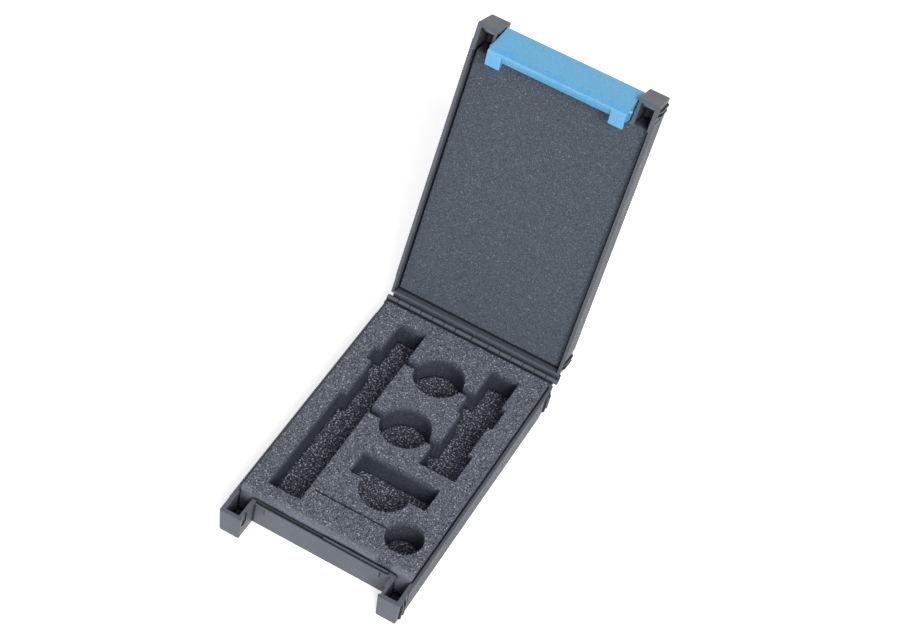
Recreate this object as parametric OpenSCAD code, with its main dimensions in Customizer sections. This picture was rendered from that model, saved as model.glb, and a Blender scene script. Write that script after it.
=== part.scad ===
// Small two-shell carrying case for measuring tools, shown open: two like plastic shells on a
// fourteen-knuckle hinge, a foam insert with cut pockets, and a latch that is also the handle.
// Lengths are in millimetres. The case stands on its base, with the hinge at the back (+Y).

/* [Case] */
// Width over the corner horns
case_w = 200; // [190:1:240]
// Depth from the hinge axis to the front of the horns
case_d = 330; // [325:1:380]
// Height of one shell, from its outer floor to its rim
shell_h = 33.5; // [32:0.5:45]
// Thickness of the back and side walls
wall_t = 3; // [2:0.1:3.5]
// Thickness of the floor
floor_t = 2.5; // [1.5:0.1:4]
// Thickness of the front wall between the horns
front_wall_t = 5; // [4.6:0.1:6]
// How far the outer walls lean in towards the floor
lean = 1; // [0.2:0.1:1.5]
// Radius of the outer floor edges
edge_r = 3; // [2:0.1:4]
// Radius of the outer upright edges
corner_r = 1.2; // [0.5:0.1:2]
// Angle at which the lid stands open
open_angle = 108.7; // [95:0.1:112]

/* [Horns] */
// Width of a corner horn
horn_w = 24; // [22:0.5:30]
// How far a horn stands in front of the front wall
horn_d = 25; // [24:0.5:30]
// Width of the rim round a horn's hollow
horn_rim = 4.6; // [3.5:0.1:6]
// Height of that rim
horn_rim_h = 5; // [3:0.5:8]
// Wall below that rim
horn_wall_t = 2.5; // [2:0.1:3]

/* [Rim joint] */
// Width of the tongue on one half of the front rim
tongue_w = 2; // [1.6:0.1:2.4]
// Height of the tongue
tongue_h = 1.8; // [1:0.1:2.5]
// Clearance of the tongue in the groove, each way
tongue_gap = 0.4; // [0.2:0.05:0.5]
// Gap between the rims of the shut shells
rim_gap = 0.2; // [0.1:0.05:0.4]

/* [Side walls] */
// How far the flutes stand out of the side walls
flute_h = 0.6; // [0.4:0.1:1.2]
// Distance from one flute to the next
flute_pitch = 3; // [2.5:0.1:5]
// Thickness of a fin
fin_t = 1.3; // [0.8:0.1:2]
// How far a fin stands out of the wall
fin_h = 2.2; // [1.2:0.1:3]
// Height over which a fin's top edge slopes out from the rim
fin_slope = 8; // [4:0.5:12]
// Distance from a shell's end to the middle of its first fin
fin_first = 7.3; // [5:0.1:9]
// Distance between the two fins of a pair
fin_pitch = 5.7; // [4:0.1:7]

/* [Hinge] */
// From the hinge axis to the outer face of the back walls
hinge_out = 6.8; // [6:0.1:9]
// Outer diameter of a knuckle
knuckle_d = 5.8; // [5:0.1:7]
// Width of each of the two middle knuckles
middle_w = 19.5; // [16:0.5:24]
// Knuckles on each side of the middle pair
side_knuckles = 6; // [4:1:8]
// Gap between neighbouring knuckles
knuckle_gap = 0.8; // [0.2:0.05:1.2]
// Diameter of a hinge pin
pin_d = 3; // [2:0.1:3.5]
// Radial clearance of every pin in its bore
pin_fit = 0.05; // [0.02:0.01:0.1]

/* [Foam] */
// How far the base insert stands above the rim
foam_proud = 6.5; // [3:0.5:9]
// Gap between the two foams when the case is shut
foam_meet = 1.5; // [0.5:0.1:3]
// Thickness of the sheet under the pockets
sheet_t = 5.5; // [4:0.5:8]
// Gap between foam and side wall at the floor
foam_side_gap = 0.4; // [0.2:0.1:1]
// Gap between foam and the front and back walls
foam_end_gap = 0.9; // [0.9:0.1:2]
// Thickness of the glue under each foam
glue_t = 0.1; // [0.05:0.05:0.3]

/* [Pockets] */
// Right-hand edge of the long left slot, from the middle of the case
left_slot_x = -40; // [-45:1:-35]
// Width of that slot
left_slot_w = 30; // [24:1:32]
// Width of its wide parts
left_slot_wide = 36.5; // [34:0.5:40]
// Left-hand edge of the right slot
right_slot_x = 39; // [37:1:42]
// Width of that slot
right_slot_w = 31; // [28:1:33]
// How far its wide parts reach past it on each side
right_slot_step = 5; // [3:0.5:6]
// Diameter of the two large round pockets
round_d = 52.8; // [46:0.2:54]
// Diameter of the small round pocket
small_d = 38.4; // [30:0.2:44]
// Width of the finger cuts between the pockets
finger_w = 9; // [6:0.5:12]
// Size of the cross slot, across the case
cross_w = 86; // [70:1:90]
// Size of the cross slot, along the case
cross_l = 30; // [24:1:32]
// Width of the thin slit
slit_w = 1.6; // [1:0.1:2.5]

/* [Latch handle] */
// Gap between the handle and each horn
handle_gap = 0.5; // [0.3:0.1:1]
// Height of the front plate
plate_h = 43; // [38:0.5:46]
// Thickness of the plate
plate_t = 2.6; // [2:0.1:3.5]
// Handle pivot, behind the front of the horns
pivot_back = 7.8; // [7:0.1:9]
// Handle pivot, from the parting plane
pivot_up = 11; // [9:0.1:12]
// Handle's front face, in front of its pivot
plate_out = 3.8; // [3.2:0.1:4.2]
// Width of the tab at each end
tab_w = 15.5; // [12:0.5:18]
// Thickness of a tab
tab_t = 3; // [2:0.1:4]
// Gap between a latched tab and the front wall
tab_gap = 1.6; // [1:0.1:2.5]
// Number of grip ridges
ridges = 5; // [3:1:6]
// Distance between the grip ridges
ridge_pitch = 2; // [1.5:0.1:2.5]
// Diameter of a pivot pin
pivot_d = 4; // [3:0.1:4.5]
// Swing from the latched place to where the handle rests on the open lid's rim
hang_angle = 14.3; // [5:0.1:14.5]

/* [Hidden] */

$fn = 32;
half_w = case_w / 2;
// Places along Y are measured from the hinge axis, and heights from the parting plane
back_y = -hinge_out;
front_y = -case_d;
notch_y = front_y + horn_d;
inner_back_y = back_y - wall_t;
inner_front_y = notch_y + front_wall_t;
horn_in_x = half_w - horn_w;
inner_x = half_w - wall_t;
cavity_depth = shell_h - floor_t;
cavity_lean = 0.6 * lean;
cavity_r = 0.25;
rim_z = -rim_gap / 2;
hinge_y = (case_d + hinge_out) / 2;
far = 500;
tiny = 0.02;

hinge_half = half_w + fin_h - 0.2;
side_w = (hinge_half - middle_w) / side_knuckles;
knuckle_count = 2 * side_knuckles + 2;
web_top = 1.5;
ledge_gap = 0.4;
ledge_end = 78;
ledge_t = 1.3;

foam_x = inner_x - cavity_lean - foam_side_gap;
foam_back = inner_back_y - foam_end_gap;
foam_front = inner_front_y + foam_end_gap;
pocket_top = foam_proud + 1;

pivot_y = front_y + pivot_back;
handle_half = horn_in_x - handle_gap;
plate_y = pivot_y - plate_out;
plate_top = plate_h / 2;
tab_y = notch_y - tab_gap;
tab_bottom = -plate_top - 0.7;
web_t = 2.6;
nose_y = tab_y - 0.1;
nose_down = 16;
web_r = 15.6;
recess_w = 12;
recess_d = 2;
recess_top = 1.9;
recess_bottom = 14.6;
lip_l = 11;
lip_t = 3;
ridge_lean = 0.9;
ridge_r = 0.75;
boss_r = 4.6;
seat_d = 1.6;
pin_reach = 5.5;
pin_in = 8;
head_r = 4.4;
head_l = 12;
head_gap = 0.3;
hinge_stop = 1.5;
stop_w = 3;
stop_reach = 8;
stop_slack = 0.3;
stud_r = 1.9;
stud_grip = 0.3;
lug_r = 1;
lug_at = 6.8;
lug_angle = 12.5;

// A block under the plane z = 0 whose walls lean in by inset at its floor, with upright edges of
// radius c and floor edges of radius r
module leaning_block(x, y, depth, inset, r, c) {
    hull() {
        slice(x, y, 0, c, 0);
        for (a = [0:18:90])
            slice(x, y, inset + r * (1 - cos(a)), c, -depth + r * (1 - sin(a)));
    }
}

// A thin slice of such a block, with its walls moved in by the inset
module slice(x, y, inset, c, z) {
    for (i = [0, 1], j = [0, 1])
        translate([x[i] + (1 - 2 * i) * (c + inset), y[j] + (1 - 2 * j) * (c + inset), z > -tiny ? -tiny : z])
            cylinder(r = c, h = tiny, $fn = 24);
}

// Both hands of something drawn on the right
module both_sides() {
    children();
    mirror([1, 0, 0]) children();
}

// A bar along X with the given outline in Y and Z
module bar(x0, x1) {
    translate([x0, 0, 0]) rotate([90, 0, 90]) linear_extrude(x1 - x0) children();
}

// Start of knuckle k along X, counted from the left
function knuckle_x(k) =
    k <= side_knuckles ? -hinge_half + k * side_w
    : k == side_knuckles + 1 ? 0
    : middle_w + (k - side_knuckles - 2) * side_w;

module shell_outside() {
    leaning_block([-half_w, half_w], [notch_y, back_y], shell_h, lean, edge_r, corner_r);
    both_sides()
        leaning_block([horn_in_x, half_w], [front_y, notch_y + 40], shell_h, lean, edge_r, corner_r);
}

module shell_inside() {
    leaning_block([-inner_x, inner_x], [inner_front_y, inner_back_y], cavity_depth, cavity_lean,
        cavity_r, cavity_r);
    both_sides() {
        translate([0, 0, -horn_rim_h])
            leaning_block([horn_in_x + horn_wall_t, half_w - horn_wall_t],
                [front_y + horn_wall_t, inner_front_y + 20], cavity_depth - horn_rim_h, cavity_lean,
                cavity_r, cavity_r);
        translate([horn_in_x + horn_rim, front_y + horn_rim, -horn_rim_h - 1])
            cube([horn_w - 2 * horn_rim, horn_d + front_wall_t, horn_rim_h + 2]);
    }
    translate([-inner_x, inner_front_y, -1]) cube([2 * inner_x, inner_back_y - inner_front_y, 2]);
    translate([-far, -far, rim_z]) cube([2 * far, far + back_y, far]);
}

// Two upright fins near each end of each side wall
module side_fins() {
    drop = shell_h - edge_r;
    both_sides()
        for (y = [front_y + fin_first, front_y + fin_first + fin_pitch,
                back_y - fin_first, back_y - fin_first - fin_pitch])
            translate([0, y + fin_t / 2, 0]) rotate([90, 0, 0]) linear_extrude(fin_t)
                polygon([[half_w - wall_t / 2, rim_z], [half_w, rim_z], [half_w + fin_h, rim_z - fin_slope],
                    [half_w + fin_h - lean, -drop + fin_h], [half_w - lean, -drop],
                    [half_w - wall_t / 2, -drop]]);
}

// Upright flutes along each side wall between the fins, leaning with the wall: half flat, half groove
module side_flutes() {
    drop = shell_h - edge_r;
    y0 = front_y + fin_first + 2 * fin_pitch;
    y1 = back_y - fin_first - 2 * fin_pitch;
    count = floor((y1 - y0) / flute_pitch);
    first = (y0 + y1 - count * flute_pitch) / 2;
    wave = [for (i = [0:4 * count - 1]) if (i % 4 != 1)
        [half_w + (i % 4 == 3 ? 0.1 : flute_h), first + i * flute_pitch / 4]];
    both_sides() multmatrix([[1, 0, lean / shell_h, 0], [0, 1, 0, 0], [0, 0, 1, 0], [0, 0, 0, 1]])
        translate([0, 0, rim_z - drop]) linear_extrude(drop)
            polygon(concat([[half_w - 0.4, first + count * flute_pitch], [half_w - 0.4, first]], wave));
}

// Half of the front rim carries a tongue, and the other half a groove for the other shell's tongue
module rim_tongue() {
    translate([tongue_gap, notch_y + (front_wall_t - tongue_w) / 2, -1])
        cube([handle_half - web_t - 1 - tongue_gap, tongue_w, tongue_h + 1]);
}

module rim_groove() {
    w = tongue_w + 2 * tongue_gap;
    translate([-horn_in_x, notch_y + (front_wall_t - w) / 2, -tongue_h - tongue_gap])
        cube([horn_in_x, w, far]);
}

// Knuckles number first, first + 2 and so on, with the webs that carry them
module knuckles(first) {
    for (k = [first:2:knuckle_count - 1]) {
        x0 = knuckle_x(k) + knuckle_gap / 2;
        x1 = knuckle_x(k + 1) - knuckle_gap / 2;
        translate([x0, 0, 0]) rotate([0, 90, 0]) cylinder(d = knuckle_d, h = x1 - x0);
        translate([x0, back_y - wall_t / 2, -knuckle_d / 2])
            cube([x1 - x0, hinge_out + wall_t / 2, knuckle_d / 2 - web_top]);
    }
}

// Ledge along the back wall, which cups the other shell's knuckles from below
module hinge_ledge() {
    l = half_w - edge_r;
    r = knuckle_d / 2 + ledge_gap;
    from = asin(web_top / r);
    step = (ledge_end - from) / 4;
    cup = [for (i = [0:4]) [-r * cos(from + i * step), -r * sin(from + i * step)]];
    bar(-l, l) polygon(concat([[back_y - wall_t / 2, -web_top]], cup,
        [[cup[4][0], -r - ledge_t], [back_y - wall_t / 2, -r - 2 * ledge_t]]));
}

// Ribs under the hinge line, whose slanted faces meet the other shell's when the lid is open
module hinge_stops() {
    a = (180 - open_angle) / 2 - stop_slack;
    clear_r = knuckle_d / 2 + 0.9;
    profile = [[back_y - wall_t / 2, -clear_r / 2], [-clear_r * cos(30), -clear_r / 2],
        [-clear_r / 2, -clear_r * cos(30)], [clear_r * sin(a / 3), -clear_r * cos(a / 3) - 0.1],
        [clear_r * sin(a), -clear_r * cos(a)], [stop_reach * sin(a), -stop_reach * cos(a)],
        [back_y - wall_t / 2, -stop_reach - 5]];
    for (x = [-1, 1], f = [middle_w / 2, hinge_half - side_w / 2])
        bar(x * f - stop_w / 2, x * f + stop_w / 2) polygon(profile);
}

// The bore for the two hinge pins leaves a stop in the middle
module hinge_bore() {
    both_sides() translate([hinge_stop, 0, 0]) rotate([0, 90, 0])
        cylinder(d = pin_d + 2 * pin_fit, h = hinge_half);
}

// Channel down each horn's inner side to the bore for a pivot pin. On the lid it lets the handle's
// lugs in and stops its swing. On the base the handle's studs ride down it into the same bore.
module pivot_channel() {
    both_sides() translate([horn_in_x - 1, pivot_y, -pivot_up]) {
        rotate([0, 90, 0]) cylinder(r = boss_r, h = 1 + seat_d);
        translate([0, -boss_r, 0]) cube([1 + seat_d, 2 * boss_r, pivot_up + 1]);
        rotate([0, 90, 0]) cylinder(d = pivot_d + 2 * pin_fit, h = pin_reach + 2);
    }
}

module pivot_bosses() {
    both_sides() translate([horn_in_x + horn_wall_t - 0.5, pivot_y, -pivot_up]) rotate([0, 90, 0])
        cylinder(r = boss_r, h = pin_reach - horn_wall_t + 0.5);
}

// Shallow recess in the front wall beside each horn, behind the handle's tabs, fading downwards
module tab_recess() {
    both_sides() bar(horn_in_x - recess_w, horn_in_x + 0.2)
        polygon([[notch_y - 2, -recess_top], [notch_y + recess_d, -recess_top],
            [notch_y - 0.1, -recess_bottom], [notch_y - 2, -recess_bottom]]);
}

// One shell with its rim at z = 0, hanging below it, as both halves of the case are moulded
module shell() {
    difference() {
        union() {
            difference() {
                shell_outside();
                shell_inside();
            }
            side_fins();
            side_flutes();
            rim_tongue();
            knuckles(0);
            hinge_ledge();
            hinge_stops();
            pivot_bosses();
        }
        rim_groove();
        hinge_bore();
        pivot_channel();
        tab_recess();
    }
}

// From the hinge's own frame to the case's frame
module at_hinge() {
    translate([0, hinge_y, shell_h]) children();
}

// The shut lid's place is the base's, turned half round about the depth of the case
module lid_place() {
    at_hinge() rotate([-open_angle, 0, 0]) children();
}

module foam_block(z0, z1) {
    translate([-foam_x, foam_front, z0]) cube([2 * foam_x, foam_back - foam_front, z1 - z0]);
}

// A rectangular cut, from its lowest X and Y to its highest
module cut(x0, x1, y0, y1) {
    translate([x0, y0, sheet_top - 1]) cube([x1 - x0, y1 - y0, pocket_top - sheet_top + 1]);
}

module round_cut(x, y, d) {
    translate([x, y, sheet_top - 1]) cylinder(d = d, h = pocket_top - sheet_top + 1, $fn = 96);
}
sheet_top = -cavity_depth + glue_t + sheet_t;

// Places of the pockets along the case, from the hinge
slot_back = -28;
step_1 = [-98, -68];
step_2_back = -139;
left_front = -280;
right_front = -176;
round_1 = [-1.9, -69.7];
round_2 = [1.2, -144.9];
cross_back = -193;
cross_x = -18;
cross_round_x = 23;
small_at = [66.5, -262];
slit_x = -34;

module left_slot() {
    cut(left_slot_x - left_slot_w, left_slot_x, left_front, slot_back);
    cut(left_slot_x - left_slot_wide, left_slot_x - 1, left_front, step_2_back);
    cut(left_slot_x - left_slot_wide, left_slot_x - 1, step_1[0] + 8, step_1[1]);
}

module right_slot() {
    x1 = right_slot_x + right_slot_w;
    cut(right_slot_x, x1, right_front, slot_back);
    cut(right_slot_x - right_slot_step, x1 + right_slot_step, right_front, step_2_back);
    cut(right_slot_x - right_slot_step, x1 + right_slot_step, step_1[0], step_1[1]);
}

module finger_cuts() {
    for (y = [round_1[1], round_2[1]])
        cut(left_slot_x - 1, right_slot_x + 1, y - finger_w / 2, y + finger_w / 2);
}

module cross_slot() {
    cut(cross_x, cross_x + cross_w, cross_back - cross_l, cross_back);
    round_cut(cross_round_x, cross_back - cross_l, round_d);
    cut(slit_x, small_at[0], small_at[1] - slit_w / 2, small_at[1] + slit_w / 2);
}

module pockets() {
    left_slot();
    right_slot();
    finger_cuts();
    round_cut(round_1[0], round_1[1], round_d);
    round_cut(round_2[0], round_2[1], round_d);
    cross_slot();
    round_cut(small_at[0], small_at[1], small_d);
}

// The finger cuts leave this block of the insert standing by itself between the round pockets
module island_place() {
    cut(left_slot_x - 1, right_slot_x + 1, round_2[1], round_1[1]);
}

// Side view of the handle's grip, latched: plate, lip and ridges
module grip_profile() {
    inner_y = plate_y + plate_t;
    low = -plate_top;
    ridge_z = low + 1;
    polygon([[plate_y, plate_top - 0.6], [plate_y + 0.6, plate_top], [inner_y, plate_top],
        [inner_y, low + lip_t + 4], [inner_y + 1.5, low + lip_t + 1.5],
        [plate_y + lip_l, low + lip_t + 3], [plate_y + lip_l + 1, low + lip_t + 1.6],
        [plate_y + lip_l + 0.4, low + 2.8], [plate_y + lip_l / 2, low + 0.6],
        [plate_y + ridge_lean + 1.2, low], [plate_y + ridge_lean, low + 0.8],
        [plate_y, low + ridges * ridge_pitch + 0.5]]);
    for (i = [0:ridges - 1])
        translate([plate_y + ridge_lean * (1 - i / ridges) + 0.05, ridge_z + i * ridge_pitch])
            circle(r = ridge_r, $fn = 16);
}

// Side view of an end web, latched. Its nose rests on the lid's rim when the handle hangs.
module web_profile() {
    boss_profile();
    arc = [for (a = [0:12:36]) [pivot_y + web_r * cos(a), pivot_up - web_r * sin(a)]];
    polygon(concat([[plate_y + 0.5, pivot_up + 7.5], [pivot_y + 1, pivot_up + boss_r],
        [pivot_y + boss_r, pivot_up + 1]], arc,
        [[pivot_y + 11, pivot_up - 13.8], [nose_y, pivot_up - nose_down],
        [pivot_y + 8.2, tab_bottom + tab_t], [pivot_y + 8.2, tab_bottom + 0.5],
        [plate_y + ridge_lean + 0.3, tab_bottom + 1]]));
}

module boss_profile() {
    intersection() {
        translate([pivot_y, pivot_up]) circle(r = boss_r);
        translate([plate_y + 0.1, 0]) square([2 * boss_r, plate_h]);
    }
}

// Side view of a tab's inner cheek, latched
module cheek_profile() {
    polygon([[plate_y + ridge_lean + 0.3, tab_bottom + 1], [tab_y - 1, tab_bottom + 1],
        [tab_y - 1, tab_bottom + tab_t], [plate_y + plate_t + 6, -9], [plate_y + plate_t - 0.5, -5],
        [plate_y + 0.7, -9]]);
}

// Side view of a tab, latched
module tab_profile() {
    polygon([[plate_y + ridge_lean, tab_bottom + 1.5], [plate_y + ridge_lean + 1.5, tab_bottom],
        [tab_y - 0.6, tab_bottom], [tab_y, tab_bottom + 0.6], [tab_y, tab_bottom + tab_t - 0.4],
        [tab_y - 0.4, tab_bottom + tab_t], [plate_y + ridge_lean, tab_bottom + tab_t]]);
}

// Stud at the right-hand end, which snaps into the base's pivot bore when the case is latched
module latch_stud() {
    l = horn_in_x + seat_d + stud_grip - handle_half + 0.5;
    translate([handle_half - 0.5, pivot_y, -pivot_up]) rotate([0, 90, 0])
        cylinder(r1 = stud_r, r2 = stud_r - 0.4, h = l);
}

// Lug at the right-hand end, which stops the swing against the sides of the lid's channel
module swing_lug() {
    translate([handle_half - 0.5, pivot_y + lug_at * sin(lug_angle), pivot_up - lug_at * cos(lug_angle)])
        rotate([0, 90, 0]) cylinder(r = lug_r, h = horn_in_x + seat_d - handle_half - 0.2);
}

module handle_latched() {
    rib_t = 1.8;
    difference() {
        union() {
            bar(-handle_half, handle_half) grip_profile();
            both_sides() {
                bar(handle_half - web_t, handle_half) web_profile();
                bar(handle_half - tab_w, handle_half - tab_w + web_t) cheek_profile();
                bar(handle_half - tab_w, handle_half) tab_profile();
                bar(handle_half - pin_in, handle_half) boss_profile();
                latch_stud();
                swing_lug();
            }
            for (x = [-1.5, -0.5, 0.5, 1.5])
                translate([x * handle_half / 2.5 - rib_t / 2, plate_y + 0.5, -plate_top + 5])
                    cube([rib_t, plate_t + 2, plate_h - 8]);
        }
        both_sides() translate([handle_half - pin_in + 1, pivot_y, pivot_up]) rotate([0, 90, 0])
            cylinder(d = pivot_d + 2 * pin_fit, h = pin_in);
    }
}

// Turns a piece of the handle about its pivot, from latched to hanging
module hung() {
    translate([0, pivot_y, pivot_up]) rotate([hang_angle, 0, 0]) translate([0, -pivot_y, -pivot_up])
        children();
}

module hinge_pin(side) {
    x0 = hinge_stop + 0.3;
    translate([side > 0 ? x0 : -hinge_half + 0.4, 0, 0]) rotate([0, 90, 0])
        cylinder(d = pin_d, h = hinge_half - 0.4 - x0);
}

// Pivot pin, with a thick head in the horn's hollow
module pivot_pin() {
    x0 = handle_half - pin_in + 1.2;
    head_x = horn_in_x + pin_reach + head_gap;
    translate([0, pivot_y, pivot_up]) rotate([0, 90, 0]) {
        translate([0, 0, x0]) cylinder(d = pivot_d, h = head_x + 1 - x0);
        translate([0, 0, head_x]) cylinder(r = head_r, h = head_l);
    }
}

module base_shell() { color([0.29, 0.31, 0.35]) at_hinge() shell(); }
module lid_shell() { color([0.27, 0.29, 0.33]) lid_place() rotate([0, 180, 0]) shell(); }
module hinge_pin_left() { color("silver") at_hinge() hinge_pin(-1); }
module hinge_pin_right() { color("silver") at_hinge() hinge_pin(1); }
module base_foam_sheet() {
    color([0.2, 0.21, 0.23]) at_hinge() foam_block(-cavity_depth + glue_t, sheet_top);
}
module base_foam_insert() {
    color([0.33, 0.34, 0.37]) at_hinge() difference() {
        foam_block(sheet_top + glue_t, foam_proud);
        pockets();
        island_place();
    }
}
module base_foam_island() {
    color([0.36, 0.37, 0.4]) at_hinge() difference() {
        intersection() {
            foam_block(sheet_top + glue_t, foam_proud);
            island_place();
        }
        pockets();
    }
}
module lid_foam_pad() {
    color([0.34, 0.37, 0.4]) lid_place() foam_block(foam_proud + foam_meet, cavity_depth - glue_t);
}
module latch_handle() { color([0.45, 0.71, 0.88]) lid_place() hung() handle_latched(); }
module pivot_pin_left() { color("silver") lid_place() mirror([1, 0, 0]) pivot_pin(); }
module pivot_pin_right() { color("silver") lid_place() pivot_pin(); }

base_shell();
lid_shell();
hinge_pin_left();
hinge_pin_right();
base_foam_sheet();
base_foam_insert();
base_foam_island();
lid_foam_pad();
latch_handle();
pivot_pin_left();
pivot_pin_right();
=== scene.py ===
"""Tool case, standing open: two moulded shells on a hinge, cut foam and a blue latch handle.

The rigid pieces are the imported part's own meshes, in moulded plastic and steel. The foams are made
from their nodes' meshes, with pores pressed in, and stand for them. Lengths are in metres.
"""

import math

import bpy
import numpy as np
from mathutils import Matrix, Vector


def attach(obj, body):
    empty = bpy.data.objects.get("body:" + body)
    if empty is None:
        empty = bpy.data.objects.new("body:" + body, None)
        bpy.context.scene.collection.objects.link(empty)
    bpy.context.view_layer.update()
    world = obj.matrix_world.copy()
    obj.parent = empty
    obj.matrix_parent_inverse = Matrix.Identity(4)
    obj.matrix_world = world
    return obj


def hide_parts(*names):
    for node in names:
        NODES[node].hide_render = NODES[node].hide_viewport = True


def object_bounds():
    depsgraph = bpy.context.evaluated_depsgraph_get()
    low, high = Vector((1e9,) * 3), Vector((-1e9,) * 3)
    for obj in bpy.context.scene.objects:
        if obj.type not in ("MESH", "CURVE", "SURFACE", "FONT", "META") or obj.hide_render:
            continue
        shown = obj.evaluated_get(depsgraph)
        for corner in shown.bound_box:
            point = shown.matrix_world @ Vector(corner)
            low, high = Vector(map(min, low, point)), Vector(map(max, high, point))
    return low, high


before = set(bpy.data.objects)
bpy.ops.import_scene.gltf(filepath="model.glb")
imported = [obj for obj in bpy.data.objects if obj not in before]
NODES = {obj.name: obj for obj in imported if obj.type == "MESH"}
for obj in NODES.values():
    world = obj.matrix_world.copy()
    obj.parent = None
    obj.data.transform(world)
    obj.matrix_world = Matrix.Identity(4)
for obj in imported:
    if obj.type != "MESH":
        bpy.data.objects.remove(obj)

cad_low, cad_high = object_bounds()

HINGE_LINE = Vector((0.0, 0.1684, 0.0335))
OPEN_ANGLE = math.radians(108.7)
BASE_FACE = (0.0, 0.0, 1.0)
LID_FACE = (0.0, -math.sin(OPEN_ANGLE), -math.cos(OPEN_ANGLE))


def shade(red, green, blue):
    """A display colour, 0 to 255, as the linear colour that a shader wants."""
    parts = [part / 255 for part in (red, green, blue)]
    linear = [c / 12.92 if c <= 0.04045 else ((c + 0.055) / 1.055) ** 2.4 for c in parts]
    return (*linear, 1.0)


# Camera

# The point aimed at, from the hinge line
AIM_FROM_HINGE = Vector((0.0, -0.06, 0.06))
VIEW_ROUND = math.radians(19.99)
VIEW_UP = math.radians(49.02)
VIEW_ROLL = math.radians(11.62)
VIEW_DISTANCE = 2.2491
# How far the camera is slid across and up its own picture
SLIDE_ACROSS = -0.00215
SLIDE_ABOVE = 0.01776
# Focal length and picture width in pixels, and the sensor's width in millimetres
VIEW_FOCUS = 2238.1
VIEW_WIDTH = 900
SENSOR_WIDTH = 36


def place_camera():
    """The camera stands on a ray from the point aimed at: round by the azimuth, up by the
    elevation, then rolled about its own line of sight and slid a little across it."""
    back = Vector(
        (
            math.sin(VIEW_ROUND) * math.cos(VIEW_UP),
            -math.cos(VIEW_ROUND) * math.cos(VIEW_UP),
            math.sin(VIEW_UP),
        )
    )
    right = Vector((math.cos(VIEW_ROUND), math.sin(VIEW_ROUND), 0))
    up = back.cross(right)
    across = math.cos(VIEW_ROLL) * right + math.sin(VIEW_ROLL) * up
    above = -math.sin(VIEW_ROLL) * right + math.cos(VIEW_ROLL) * up
    aim = HINGE_LINE + AIM_FROM_HINGE
    place = aim + back * VIEW_DISTANCE + across * SLIDE_ACROSS + above * SLIDE_ABOVE
    data = bpy.data.cameras.new("photo_camera")
    data.sensor_width = SENSOR_WIDTH
    data.lens = VIEW_FOCUS / VIEW_WIDTH * SENSOR_WIDTH
    data.clip_start, data.clip_end = 0.05, 50
    camera = bpy.data.objects.new("photo_camera", data)
    bpy.context.scene.collection.objects.link(camera)
    turn = Matrix((across, above, back)).transposed().to_4x4()
    camera.matrix_world = Matrix.Translation(place) @ turn
    bpy.context.scene.camera = camera


# Node wiring


class Wiring:
    """Adds nodes to a tree: a plain value is set on the socket, a socket is linked to it."""

    def __init__(self, tree):
        self.tree = tree

    def put(self, socket, value):
        if isinstance(value, bpy.types.NodeSocket):
            self.tree.links.new(value, socket)
        else:
            socket.default_value = value

    def node(self, kind, settings=None, **sockets):
        made = self.tree.nodes.new(kind)
        for key, value in (settings or {}).items():
            setattr(made, key, value)
        for key, value in sockets.items():
            self.put(made.inputs[key], value)
        return made

    def math(self, operation, first, second):
        made = self.node("ShaderNodeMath", {"operation": operation})
        self.put(made.inputs[0], first)
        self.put(made.inputs[1], second)
        return made.outputs[0]

    def times(self, first, second):
        return self.math("MULTIPLY", first, second)

    def plus(self, first, second):
        return self.math("ADD", first, second)

    def less(self, first, second):
        return self.math("SUBTRACT", first, second)

    def most(self, first, second):
        return self.math("MAXIMUM", first, second)

    def span(self, value, low, high, to_low=0.0, to_high=1.0):
        """The value eased from one span to another: the smooth step, held beyond its ends."""
        made = self.node("ShaderNodeMapRange", {"interpolation_type": "SMOOTHSTEP"})
        for index, part in enumerate((value, low, high, to_low, to_high)):
            self.put(made.inputs[index], part)
        return made.outputs[0]

    def noise(self, vector, scale, detail):
        return self.node("ShaderNodeTexNoise", Vector=vector, Scale=scale, Detail=detail).outputs

    def mix(self, amount, first, second):
        """Two colours mixed: sockets 6 and 7 of the node are the colours, and output 2 the mix."""
        made = self.node("ShaderNodeMix", {"data_type": "RGBA"})
        self.put(made.inputs[0], amount)
        self.put(made.inputs[6], first)
        self.put(made.inputs[7], second)
        return made.outputs[2]

    def layers(self, base, *layers):
        """The base with each layer's tone mixed over it, by the layer's mask times its share."""
        for mask, share, tone in layers:
            base = self.mix(self.times(mask, share), base, tone)
        return base


def group(name, inputs, outputs):
    """A shader node group with named inputs and outputs, and the wiring to fill it."""
    tree = bpy.data.node_groups.new(name, "ShaderNodeTree")
    for label, kind, value in inputs:
        socket = tree.interface.new_socket(label, in_out="INPUT", socket_type=kind)
        if value is not None:
            socket.default_value = value
    for label, kind in outputs:
        tree.interface.new_socket(label, in_out="OUTPUT", socket_type=kind)
    w = Wiring(tree)
    return tree, w, w.node("NodeGroupInput").outputs, w.node("NodeGroupOutput").inputs


def use(w, tree, **sockets):
    """Places a shader group in a material."""
    return w.node("ShaderNodeGroup", {"node_tree": tree}, **sockets).outputs


# Effects that more than one material uses

FLOAT, VECTOR = "NodeSocketFloat", "NodeSocketVector"
WHERE = ("Vector", VECTOR, None)


def make_mould_grain():
    """Fine spark-eroded grain of a moulded face: two sizes of noise added, as a height."""
    tree, w, given, out = group(
        "mould_grain", [WHERE, ("Size", FLOAT, 0.0006)], [("Height", FLOAT), ("Mask", FLOAT)]
    )
    scale = w.math("DIVIDE", 1.0, given["Size"])
    fine = w.noise(given["Vector"], scale, 2.0)[0]
    broad = w.noise(given["Vector"], w.times(scale, 0.3), 1.0)[0]
    both = w.plus(fine, w.times(broad, 0.7))
    w.put(out["Height"], both)
    w.put(out["Mask"], w.span(both, 0.7, 1.05))
    return tree


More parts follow.
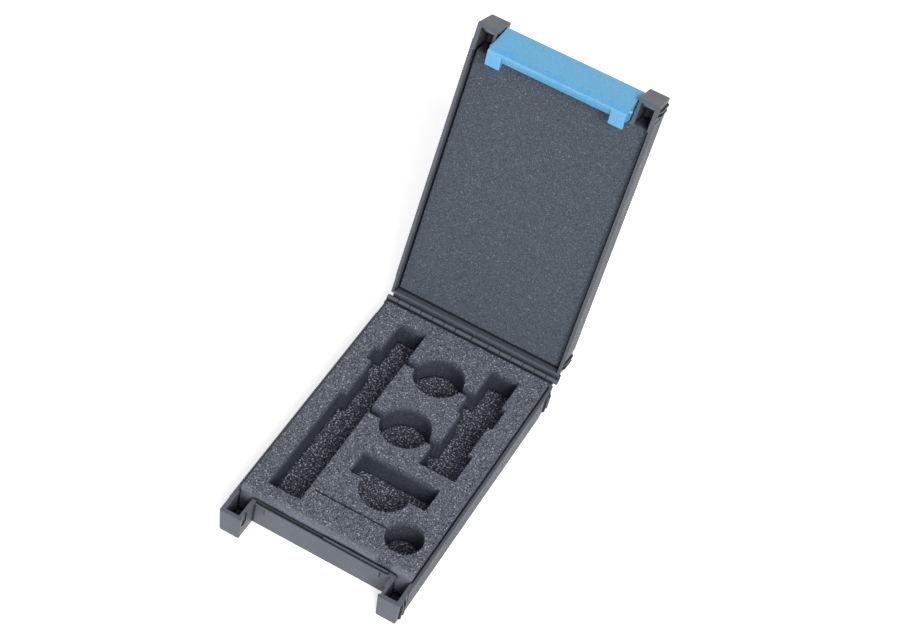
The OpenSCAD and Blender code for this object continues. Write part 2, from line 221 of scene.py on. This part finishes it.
def make_handling():
    """Marks of handling: soft patches some 35 mm across, and thin scuffs, where a noise stretched
    to lines 25 mm long and 2 mm wide peaks inside rubbed spots."""
    tree, w, given, out = group("handling", [WHERE], [("Patches", FLOAT), ("Scuffs", FLOAT)])
    broad = w.noise(given["Vector"], 28.0, 3.0)[0]
    stretch = w.node("ShaderNodeMapping", Vector=given["Vector"])
    stretch.inputs["Rotation"].default_value = (0.3, 0.5, 0.7)
    stretch.inputs["Scale"].default_value = (40.0, 520.0, 420.0)
    lines = w.noise(stretch.outputs[0], 1.0, 1.0)[0]
    scuffed = w.noise(given["Vector"], 60.0, 1.0)[0]
    w.put(out["Patches"], w.span(broad, 0.35, 0.65))
    w.put(out["Scuffs"], w.times(w.span(lines, 0.66, 0.74), w.span(scuffed, 0.52, 0.7)))
    return tree


def make_edge_wear_and_highlight():
    """Edges pale, partly as wear and partly as painted highlight: where a rounded normal turns away
    from the true one, broken by noise, and the normal of a small round on each edge."""
    tree, w, given, out = group(
        "edge_wear_and_highlight",
        [WHERE, ("Pale Edge Reach", FLOAT, 0.0008), ("Round", FLOAT, 0.0003), ("Breaks", FLOAT, 160.0)],
        [("Mask", FLOAT), ("Normal", VECTOR)],
    )
    wide = w.node("ShaderNodeBevel", {"samples": 4}, Radius=given["Pale Edge Reach"]).outputs[0]
    small = w.node("ShaderNodeBevel", {"samples": 4}, Radius=given["Round"]).outputs[0]
    agree = w.node("ShaderNodeVectorMath", {"operation": "DOT_PRODUCT"})
    w.put(agree.inputs[0], wide)
    w.put(agree.inputs[1], w.node("ShaderNodeNewGeometry").outputs["Normal"])
    edge = w.span(agree.outputs["Value"], 0.99, 0.8)
    breaks = w.noise(given["Vector"], given["Breaks"], 2.0)[0]
    w.put(out["Mask"], w.times(edge, w.span(breaks, 0.38, 0.62)))
    w.put(out["Normal"], small)
    return tree


def make_crevices():
    """Painted shade, with a little dust, in grooves, gaps and inner corners: where little of the sky
    is open within a short reach."""
    tree, w, given, out = group(
        "crevices",
        [("Reach", FLOAT, 0.0018), ("Open", FLOAT, 0.9), ("Shut", FLOAT, 0.5)],
        [("Mask", FLOAT)],
    )
    sky = w.node("ShaderNodeAmbientOcclusion", {"samples": 6}, Distance=given["Reach"])
    w.put(out["Mask"], w.span(sky.outputs["AO"], given["Open"], given["Shut"]))
    return tree


def make_open_cells():
    """Open-cell foam: a net of pale struts round dark pores, from the distance to the edges of a
    warped cell pattern, with a tone for each cell, and a fine noise speckle over it. A few spots
    are painted pale as glints, a painted highlight. Size is a cell's width, and Glints the noise
    above which a spot shows."""
    tree, w, given, out = group(
        "open_cells",
        [WHERE, ("Size", FLOAT, 0.0015), ("Glints", FLOAT, 0.62)],
        [(label, FLOAT) for label in ("Struts", "Pores", "Glints", "Height", "Clouds")],
    )
    scale = w.math("DIVIDE", 1.0, given["Size"])

    def grain(part, detail=1.0):
        """Noise whose scale is that part of the cells' own."""
        return w.noise(given["Vector"], w.times(scale, part), detail)

    warped = w.node("ShaderNodeVectorMath", {"operation": "MULTIPLY_ADD"})
    w.put(warped.inputs[0], grain(1.3)["Color"])
    w.put(warped.inputs[1], (0.0012, 0.0012, 0.0012))
    w.put(warped.inputs[2], given["Vector"])
    warped = warped.outputs[0]
    edges = w.node(
        "ShaderNodeTexVoronoi", {"feature": "DISTANCE_TO_EDGE"}, Vector=warped, Scale=scale
    )
    cells = w.node("ShaderNodeTexVoronoi", Vector=warped, Scale=scale)
    tone = w.node("ShaderNodeSeparateColor", Color=cells.outputs["Color"]).outputs
    speckle = grain(1.25, 1.5)[0]
    hollow = w.span(edges.outputs["Distance"], 0.02, 0.2)

    pores = w.times(hollow, w.span(tone[0], 0.35, 0.8, 0.0, 0.8))
    pores = w.most(pores, w.span(speckle, 0.5, 0.38, 0.0, 0.85))
    struts = w.times(w.less(1.0, hollow), w.span(tone[1], 0.1, 0.8, 0.0, 0.7))
    struts = w.most(struts, w.span(speckle, 0.57, 0.7, 0.0, 0.9))
    spots = w.span(grain(0.75)[0], given["Glints"], w.plus(given["Glints"], 0.07))
    w.put(out["Pores"], pores)
    w.put(out["Struts"], struts)
    w.put(out["Glints"], w.times(spots, w.span(grain(2.6)[0], 0.42, 0.58, 0.35, 1.0)))
    w.put(out["Height"], w.less(w.times(speckle, 0.7), w.times(pores, 0.4)))
    w.put(out["Clouds"], w.span(w.noise(given["Vector"], 22.0, 3.0)[0], 0.32, 0.68))
    return tree


MOULD_GRAIN = make_mould_grain()
HANDLING = make_handling()
EDGE_WEAR_AND_HIGHLIGHT = make_edge_wear_and_highlight()
CREVICES = make_crevices()
OPEN_CELLS = make_open_cells()


# Materials

# How far a cut side wall of foam goes from the face's look to its own
WALL_SHARE = 0.85
FOAM_SHADOW = shade(24, 28, 36)


def material(name):
    """An empty material, its wiring, its shader and the piece's own coordinates."""
    made = bpy.data.materials.new(name)
    made.use_nodes = True
    made.node_tree.nodes.clear()
    w = Wiring(made.node_tree)
    shader = w.node("ShaderNodeBsdfPrincipled")
    w.node("ShaderNodeOutputMaterial", Surface=shader.outputs[0])
    return made, w, shader, w.node("ShaderNodeTexCoord").outputs["Object"]


def bump(w, shader, height, relief, strength=1.0, **sockets):
    """Feeds the shader's normal from a height, with the relief between its 0 and 1."""
    made = w.node("ShaderNodeBump", Strength=strength, Distance=relief, Height=height, **sockets)
    w.put(shader.inputs["Normal"], made.outputs[0])


def moulded(name, colour, dark, pale, dust_and_shade_tone, rubbed, rough, level, reach, clear, shut):
    """Injection-moulded plastic: the colour, darker in broad patches, pale in the grain and in
    scuffs, pale on edges partly as wear and partly as painted highlight, and dark and dull in
    crevices with painted shade and a little dust, which are looked for within the reach."""
    made, w, shader, where = material(name)
    grain = use(w, MOULD_GRAIN, Vector=where)
    marks = use(w, HANDLING, Vector=where)
    edges = use(w, EDGE_WEAR_AND_HIGHLIGHT, Vector=where)
    dust_and_shade = use(w, CREVICES, Reach=reach, Open=clear, Shut=shut)["Mask"]
    base = w.layers(
        colour,
        (marks["Patches"], 0.35, dark),
        (grain["Mask"], 0.18, pale),
        (marks["Scuffs"], 0.22, pale),
        # Pale edges, partly wear and partly painted highlight
        (edges["Mask"], rubbed, pale),
        # Painted shade, with a little dust, in grooves, gaps and inner corners
        (dust_and_shade, 0.9, dust_and_shade_tone),
    )
    w.put(shader.inputs["Base Color"], base)
    for mask, rougher in ((marks["Patches"], 0.06), (dust_and_shade, 0.3), (marks["Scuffs"], 0.12)):
        rough = w.plus(rough, w.times(mask, rougher))
    w.put(shader.inputs["Roughness"], rough)
    shader.inputs["Specular IOR Level"].default_value = level
    bump(w, shader, grain["Height"], 0.00003, Normal=edges["Normal"])
    return made


def turned_steel(name, colour, patch, smooth, rough):
    """Drawn steel wire for the pins: fine rings along X as bands of roughness and height."""
    made, w, shader, where = material(name)
    along = w.node("ShaderNodeMapping", Vector=where)
    along.inputs["Scale"].default_value = (5200.0, 160.0, 160.0)
    rings = w.noise(along.outputs[0], 1.0, 2.0)[0]
    marks = use(w, HANDLING, Vector=where)
    w.put(shader.inputs["Base Color"], w.layers(colour, (marks["Patches"], 0.4, patch)))
    shader.inputs["Metallic"].default_value = 1.0
    w.put(shader.inputs["Roughness"], w.span(rings, 0.3, 0.7, smooth, rough))
    bump(w, shader, rings, 0.00001)
    return made


def foam(name, pore, body, strut, glint, wall, cell, glints, contrast):
    """Foam: body colour with dark pores, pale struts and a few painted glints, and painted shade in
    the pores pressed into the mesh. Cut side walls, read from the piece's own attribute, are
    smoother and darker, partly in their own tone and partly in painted shade; pale edges are partly
    wear and partly painted highlight, and crevices get painted shade with a little dust."""
    made, w, shader, where = material(name)
    cells = use(w, OPEN_CELLS, Vector=where, Size=cell, Glints=glints)
    side, sunk, rubbed = (
        w.node("ShaderNodeAttribute", {"attribute_name": label}).outputs["Fac"]
        for label in ("wall", "pore", "rubbed")
    )
    amount = w.times(w.less(1.0, w.times(side, WALL_SHARE)), contrast)
    dust_and_shade = use(w, CREVICES, Reach=0.003, Open=0.88, Shut=0.5)["Mask"]
    base = w.layers(
        body,
        (cells["Clouds"], 0.25, w.mix(0.35, body, strut)),
        (side, WALL_SHARE, wall),
        (cells["Pores"], amount, pore),
        # Painted shade in the pores pressed into the mesh
        (sunk, w.times(amount, 0.75), pore),
        (cells["Struts"], amount, strut),
        (cells["Glints"], amount, glint),
        # Pale cut edges, partly wear and partly painted highlight
        (rubbed, 0.6, strut),
        # Painted shade, with a little dust, in grooves, gaps and inner corners
        (dust_and_shade, 0.85, FOAM_SHADOW),
    )
    w.put(shader.inputs["Base Color"], base)
    shader.inputs["Roughness"].default_value = 0.95
    shader.inputs["Specular IOR Level"].default_value = 0.15
    bump(w, shader, cells["Height"], 0.0006, strength=0.7)
    return made


# Its pale edges are partly wear and partly painted highlight; its near-black in crevices is painted
# shade with a little dust.
shell_plastic = moulded(
    "shell_plastic",
    colour=shade(86, 91, 101),
    dark=shade(75, 80, 91),
    pale=shade(122, 127, 136),
    dust_and_shade_tone=shade(24, 26, 31),
    rubbed=0.4,
    rough=0.42,
    level=0.4,
    reach=0.0025,
    clear=0.99,
    shut=0.8,
)
# Its pale edges and ridges are mostly painted highlight, with some wear; its darker blue in grooves
# is painted shade.
handle_plastic = moulded(
    "handle_plastic",
    colour=shade(95, 175, 220),
    dark=shade(87, 167, 216),
    pale=shade(186, 226, 247),
    dust_and_shade_tone=shade(72, 146, 206),
    rubbed=0.85,
    rough=0.32,
    level=0.5,
    reach=0.0018,
    clear=0.9,
    shut=0.5,
)
pivot_steel = turned_steel("pivot_steel", shade(118, 119, 122), shade(84, 85, 88), 0.24, 0.42)
hinge_steel = turned_steel("hinge_steel", shade(52, 53, 57), shade(38, 39, 42), 0.4, 0.6)
cut_foam = foam(
    "cut_foam",
    pore=shade(47, 52, 63),
    body=shade(94, 99, 109),
    strut=shade(141, 147, 158),
    glint=shade(200, 203, 210),
    wall=shade(43, 50, 61),
    cell=0.0014,
    glints=0.63,
    contrast=1.0,
)
sheet_foam = foam(
    "sheet_foam",
    pore=shade(32, 36, 46),
    body=shade(66, 71, 82),
    strut=shade(124, 129, 139),
    glint=shade(228, 231, 236),
    wall=shade(50, 54, 62),
    cell=0.0015,
    glints=0.575,
    contrast=1.0,
)
pad_foam = foam(
    "pad_foam",
    pore=shade(57, 64, 73),
    body=shade(83, 91, 101),
    strut=shade(105, 114, 125),
    glint=shade(146, 153, 163),
    wall=shade(66, 73, 82),
    cell=0.0012,
    glints=0.65,
    contrast=0.85,
)


# Foam pieces

COARSE = 1.0
MERGE_WITHIN = 0.00001
# The part of a point's normal along the face, from a side wall's to the face's
WALL_TO_FACE = (0.35, 0.85)
# How far from its centre a pore has its full depth and where it ends, in parts of the cell
PORE_RIM = (0.18, 0.6)
# How far the foam's faces sag, and the size and share of the waves that they sag in
SAG = 0.0003
SMALL_WAVES, SMALL_SHARE = 0.009, 0.6
BROAD_WAVES, BROAD_SHARE = 0.045, 0.4
# How far cut edges are drawn in, and the depths between which that fades
LIP = 0.0005
LIP_FADES = (0.0005, 0.004)
# The depths between which a cut edge's paleness, partly wear and partly painted highlight, fades
PALE_EDGE_FADES = (0.001, 0.003)
# A cut wall has this share of its darker tone, partly its own and partly painted shade, at the top,
# and all of it from this depth down
WALL_TOP_SHARE = 0.35
WALL_DARK_AT = 0.012
# The front edge's pale patches: how far back they fade, their size, their seed and how sharp
FRONT_FADES = (0.002, 0.009)
FRONT_PATCH = 0.016
FRONT_SEED = 77
FRONT_SHARP = (0.15, 0.6)


def hashed(i, j, k, seed):
    """A number from 0 to 1 for each lattice point: its three whole numbers times large primes,
    mixed by shifts and kept to 32 bits."""
    h = (i * 374761393 + j * 668265263 + k * 2147483647 + seed * 1274126177) & 0xFFFFFFFF
    h = ((h ^ (h >> 13)) * 1274126177) & 0xFFFFFFFF
    h = ((h ^ (h >> 16)) * 2246822519) & 0xFFFFFFFF
    return ((h ^ (h >> 15)) & 0xFFFFFF) / float(0xFFFFFF)


def ease(value, low, high):
    """The smooth step from 0 at low to 1 at high."""
    t = np.clip((value - low) / (high - low), 0, 1)
    return t * t * (3 - 2 * t)


def waves(points, size, seed):
    """Smooth noise from 0 to 1: lattice values a size apart, blended with the cubic ease."""
    p = points / size
    whole = np.floor(p).astype(np.int64)
    part = p - whole
    part = part * part * (3 - 2 * part)
    total = np.zeros(len(points))
    for a in (0, 1):
        for b in (0, 1):
            for c in (0, 1):
                weight = (
                    (part[:, 0] if a else 1 - part[:, 0])
                    * (part[:, 1] if b else 1 - part[:, 1])
                    * (part[:, 2] if c else 1 - part[:, 2])
                )
                total += weight * hashed(whole[:, 0] + a, whole[:, 1] + b, whole[:, 2] + c, seed)
    return total


def cell_gap(points, size, seed):
    """Distance to the nearest of the cell centres, one jittered in each cube of that size,
    in parts of the size: 0 in the middle of a pore, near 0.8 on a strut."""
    p = points / size
    whole = np.floor(p).astype(np.int64)
    nearest = np.full(len(points), 9.0)
    for a in (-1, 0, 1):
        for b in (-1, 0, 1):
            for c in (-1, 0, 1):
                cube = (whole[:, 0] + a, whole[:, 1] + b, whole[:, 2] + c)
                centre = np.stack(
                    [cube[axis] + hashed(*cube, seed + axis) for axis in range(3)], axis=1
                )
                nearest = np.minimum(nearest, np.linalg.norm(p - centre, axis=1))
    return nearest


def front_pale_patches(place):
    """Pale patches on the insert's front edge: near its front face, where noise is high."""
    near = 1 - ease(place[:, 1] - place[:, 1].min(), *FRONT_FADES)
    return near * ease(waves(place, FRONT_PATCH, FRONT_SEED), *FRONT_SHARP)


def remeshed(node, voxel):
    """A copy of a CAD node's mesh, merged by distance and remeshed at the voxel size."""
    holder = bpy.data.objects.new(node + "_copy", NODES[node].data.copy())
    bpy.context.scene.collection.objects.link(holder)
    weld = holder.modifiers.new("weld", "WELD")
    weld.merge_threshold = MERGE_WITHIN
    voxels = holder.modifiers.new("voxels", "REMESH")
    voxels.mode = "VOXEL"
    voxels.voxel_size = voxel
    bpy.context.view_layer.update()
    graph = bpy.context.evaluated_depsgraph_get()
    mesh = bpy.data.meshes.new_from_object(holder.evaluated_get(graph))
    bpy.data.objects.remove(holder)
    return mesh


def read_vectors(mesh, label):
    """A vector of each of the mesh's points, one in a row."""
    values = np.empty(len(mesh.vertices) * 3)
    mesh.vertices.foreach_get(label, values)
    return values.reshape(-1, 3)


def foam_piece(name, node, body, slot, finish, voxel, cell, depth, seed, face, rub=None):
    """A foam block from a CAD node: each point moves inwards along its normal, by the depth where
    a pore is, near a cell's centre, by the sag times smooth noise, and by the lip at the top of a
    cut wall, so that it stays in its solid. A point is on a side wall as its normal turns away
    from the face. The wall attribute is that, less near the face, for the walls' darker tone, partly
    their own and partly painted shade that deepens with depth; the edge attribute marks the edges,
    pale partly as wear and partly as painted highlight."""
    mesh = remeshed(node, voxel * COARSE)
    place = read_vectors(mesh, "co")
    normal = read_vectors(mesh, "normal")
    height = place @ np.array(face)
    below = height.max() - height
    side = 1 - ease(np.abs(normal @ np.array(face)), *WALL_TO_FACE)
    pore = 1 - ease(cell_gap(place, cell, seed), *PORE_RIM)
    small = waves(place, SMALL_WAVES, seed + 5)
    broad = waves(place, BROAD_WAVES, seed + 6)
    uneven = small * SMALL_SHARE + broad * BROAD_SHARE
    edge = side * (1 - ease(below, *LIP_FADES))
    inward = depth * pore * (1 - 0.5 * side) + SAG * uneven + LIP * edge
    place = place - normal * inward[:, None]
    mesh.vertices.foreach_set("co", place.ravel())

    # The walls' darker tone grows down from the face: partly their own tone, partly painted shade.
    wall = side * (WALL_TOP_SHARE + (1 - WALL_TOP_SHARE) * ease(below, 0.0, WALL_DARK_AT))
    # The rounded cut edges are pale, partly as wear and partly as painted highlight.
    rubbed = 2 * side * (1 - side) * (1 - ease(below, *PALE_EDGE_FADES))
    if rub is not None:
        rubbed = np.maximum(rubbed, rub(place))
    for label, values in (("wall", wall), ("pore", pore), ("rubbed", rubbed)):
        layer = mesh.attributes.new(label, "FLOAT", "POINT")
        layer.data.foreach_set("value", values.astype(np.float32))
    mesh.polygons.foreach_set("use_smooth", np.ones(len(mesh.polygons), bool))
    mesh.materials.clear()
    mesh.materials.append(finish)
    mesh.update()

    piece = bpy.data.objects.new(name, mesh)
    bpy.context.scene.collection.objects.link(piece)
    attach(piece, body)
    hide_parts(node)


# Stage

FLOOR_REACH = 6.0
FLOOR_BELOW = 0.0002
FLOOR_GLOW = 0.6
SKY_LIGHT = 0.4
LAMP_LIGHT = 2.7
LAMP_SPREAD = math.radians(30)
TOWARDS_LAMP = Vector((0.5, -0.62, 0.6))


def seen(w):
    """1 for rays that show a surface to the camera, straight or by gloss or glass, else 0."""
    path = w.node("ShaderNodeLightPath").outputs
    straight = w.most(path["Is Camera Ray"], path["Is Glossy Ray"])
    return w.most(straight, path["Is Transmission Ray"])


def make_floor():
    """A wide white floor just under the case, which keeps its shadow."""
    corners = np.array([(-1, -1, 0), (1, -1, 0), (1, 1, 0), (-1, 1, 0)]) * FLOOR_REACH
    corners[:, 2] = cad_low[2] - FLOOR_BELOW
    mesh = bpy.data.meshes.new("floor")
    mesh.from_pydata(corners.tolist(), [], [(0, 1, 2, 3)])
    floor = bpy.data.objects.new("floor", mesh)
    bpy.context.scene.collection.objects.link(floor)
    made = bpy.data.materials.new("floor_white")
    made.use_nodes = True
    made.node_tree.nodes.clear()
    w = Wiring(made.node_tree)
    surface = w.node("ShaderNodeBsdfDiffuse", Color=shade(240, 240, 240))
    glow = w.node(
        "ShaderNodeEmission", Color=shade(255, 255, 255), Strength=w.times(seen(w), FLOOR_GLOW)
    )
    both = w.node("ShaderNodeAddShader")
    w.put(both.inputs[0], surface.outputs[0])
    w.put(both.inputs[1], glow.outputs[0])
    w.node("ShaderNodeOutputMaterial", Surface=both.outputs[0])
    mesh.materials.append(made)


def make_light():
    """An even sky, white where it is seen, and one soft lamp high on the right of the front."""
    world = bpy.data.worlds.new("even_sky")
    world.use_nodes = True
    world.node_tree.nodes.clear()
    w = Wiring(world.node_tree)
    strength = w.plus(SKY_LIGHT, w.times(seen(w), 1 - SKY_LIGHT))
    sky = w.node("ShaderNodeBackground", Color=shade(255, 255, 255), Strength=strength)
    w.node("ShaderNodeOutputWorld", Surface=sky.outputs[0])
    bpy.context.scene.world = world

    data = bpy.data.lights.new("high_lamp", "SUN")
    data.energy = LAMP_LIGHT
    data.angle = LAMP_SPREAD
    lamp = bpy.data.objects.new("high_lamp", data)
    lamp.rotation_mode = "QUATERNION"
    lamp.rotation_quaternion = TOWARDS_LAMP.to_track_quat("Z", "Y")
    bpy.context.scene.collection.objects.link(lamp)


# Build

bpy.context.scene.view_settings.view_transform = "Standard"
place_camera()
make_floor()
make_light()

for node, finish in (
    ("base_shell", shell_plastic),
    ("lid_shell", shell_plastic),
    ("latch_handle", handle_plastic),
    ("hinge_pin_left", hinge_steel),
    ("hinge_pin_right", hinge_steel),
    ("pivot_pin_left", pivot_steel),
    ("pivot_pin_right", pivot_steel),
):
    for slot in NODES[node].material_slots:
        slot.material = finish

CUT = {"voxel": 0.0008, "cell": 0.0019, "depth": 0.00045, "seed": 11, "face": BASE_FACE}
foam_piece("foam_insert", "base_foam_insert", "base", "cut_foam", cut_foam, rub=front_pale_patches, **CUT)
foam_piece("foam_island", "base_foam_island", "base", "cut_foam", cut_foam, **CUT)
foam_piece(
    "foam_sheet",
    "base_foam_sheet",
    "base",
    "sheet_foam",
    sheet_foam,
    voxel=0.0011,
    cell=0.0024,
    depth=0.0007,
    seed=23,
    face=BASE_FACE,
)
foam_piece(
    "lid_foam",
    "lid_foam_pad",
    "lid",
    "pad_foam",
    pad_foam,
    voxel=0.0013,
    cell=0.0018,
    depth=0.0002,
    seed=37,
    face=LID_FACE,
)
